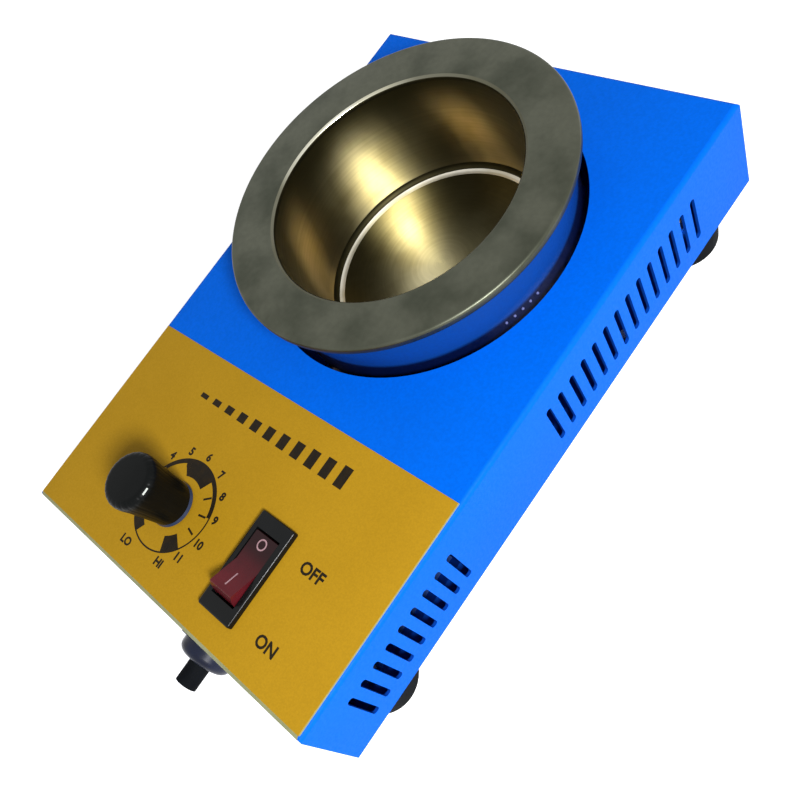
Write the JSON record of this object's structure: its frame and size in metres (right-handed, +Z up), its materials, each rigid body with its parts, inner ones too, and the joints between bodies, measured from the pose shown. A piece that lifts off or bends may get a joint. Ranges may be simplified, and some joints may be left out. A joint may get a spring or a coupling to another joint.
{
  "type": "solder pot",
  "caption": "Low sheet-metal case with a round heated crucible at the back, a temperature knob and a lit rocker switch on the front panel, and rubber feet.",
  "frame": {"origin": "on the surface it stands on, under the middle of the whole object, gland included", "axes": "+X to the right of a person facing the controls, +Y from the controls to the crucible, +Z up"},
  "size_m": [0.135, 0.219, 0.0626],
  "materials": {
    "bare_aluminium": "extruded",
    "black_plastic": "satin",
    "black_rubber": "matte",
    "blue_glass": "gloss",
    "blue_paint": "semi-gloss powder coat",
    "bright_steel": "bright plated",
    "ceramic": "unglazed",
    "ceramic_fibre": "matte fibre blanket",
    "crucible_metal": "heat-tinted steel, satin rim and polished bore",
    "die_cast_zinc": "cast and machined",
    "earth_insulation": "satin",
    "fibre_board": "matte mineral board",
    "green_plastic": "satin",
    "lamp_glass": "clear",
    "lead_insulation": "satin",
    "lead_sleeve": "woven glass sleeve",
    "phenolic_board": "satin laminate",
    "red_translucent": "translucent gloss",
    "shell_paint": "gloss paint",
    "stainless_band": "satin",
    "switch_black": "gloss",
    "tan_ceramic": "lacquered",
    "tinned_brass": "tinned",
    "white_plastic": "satin",
    "yellow_film": "printed film, satin",
    "yellow_plastic": "gloss",
    "zinc_plated": "zinc plated",
    "zinc_sheet": "plated sheet"
  },
  "bodies": {
    "case": {"band_heater": "stainless_band", "base_plate": "zinc_sheet", "base_screws": "zinc_plated", "board_screws": "zinc_plated", "board_standoffs": "tinned_brass", "board_terminals": "green_plastic", "circuit_board": "phenolic_board", "clamp_nut": "zinc_plated", "clamp_screw": "zinc_plated", "cover": "blue_paint", "crucible": "crucible_metal", "earth_lead": "earth_insulation", "earth_nut": "zinc_plated", "earth_screw": "zinc_plated", "earth_tag": "tinned_brass", "feet": "black_rubber", "film_capacitor": "yellow_plastic", "foot_nuts": "zinc_plated", "foot_screws": "zinc_plated", "gland_body": "black_plastic", "gland_cap": "black_plastic", "gland_locknut": "black_plastic", "gland_sleeve": "black_rubber", "heat_sink": "bare_aluminium", "heater_leads": "lead_sleeve", "heater_shell": "shell_paint", "insulation_disc": "fibre_board", "insulation_ring": "ceramic_fibre", "lead_bush": "ceramic", "mains_leads": "lead_insulation", "mains_nuts": "zinc_plated", "mains_screws": "zinc_plated", "mains_terminals": "white_plastic", "panel_label": "yellow_film", "potentiometer_bushing": "die_cast_zinc", "potentiometer_can": "bright_steel", "potentiometer_leads": "lead_insulation", "potentiometer_lugs": "tinned_brass", "potentiometer_nut": "bright_steel", "potentiometer_track": "phenolic_board", "potentiometer_washer": "bright_steel", "resistors": "tan_ceramic", "shell_nuts": "zinc_plated", "shell_screws": "zinc_plated", "shell_spacers": "bright_steel", "standoff_screws": "zinc_plated", "switch_blades": "tinned_brass", "switch_housing": "switch_black", "switch_leads": "lead_insulation", "triac": "black_plastic", "triac_screw": "zinc_plated", "trigger_diode": "blue_glass"},
    "control_knob": {"knob": "black_plastic", "potentiometer_shaft": "bright_steel", "potentiometer_rotor": "white_plastic", "potentiometer_wiper": "tinned_brass"},
    "rocker": {"switch_rocker": "red_translucent", "switch_contact": "tinned_brass", "switch_lamp": "lamp_glass"}
  },
  "joints": [
    {"name": "knob_turn", "type": "hinge", "parent": "case", "child": "control_knob", "pos_m": [-0.0135, -0.0685, 0.05125], "axis": [0, 0, 1], "range_deg": [-60, 240]},
    {"name": "rocker_tilt", "type": "hinge", "parent": "case", "child": "rocker", "pos_m": [0.0241, -0.069, 0.04025], "axis": [1, 0, 0], "range_deg": [0, 24]}
  ]
}
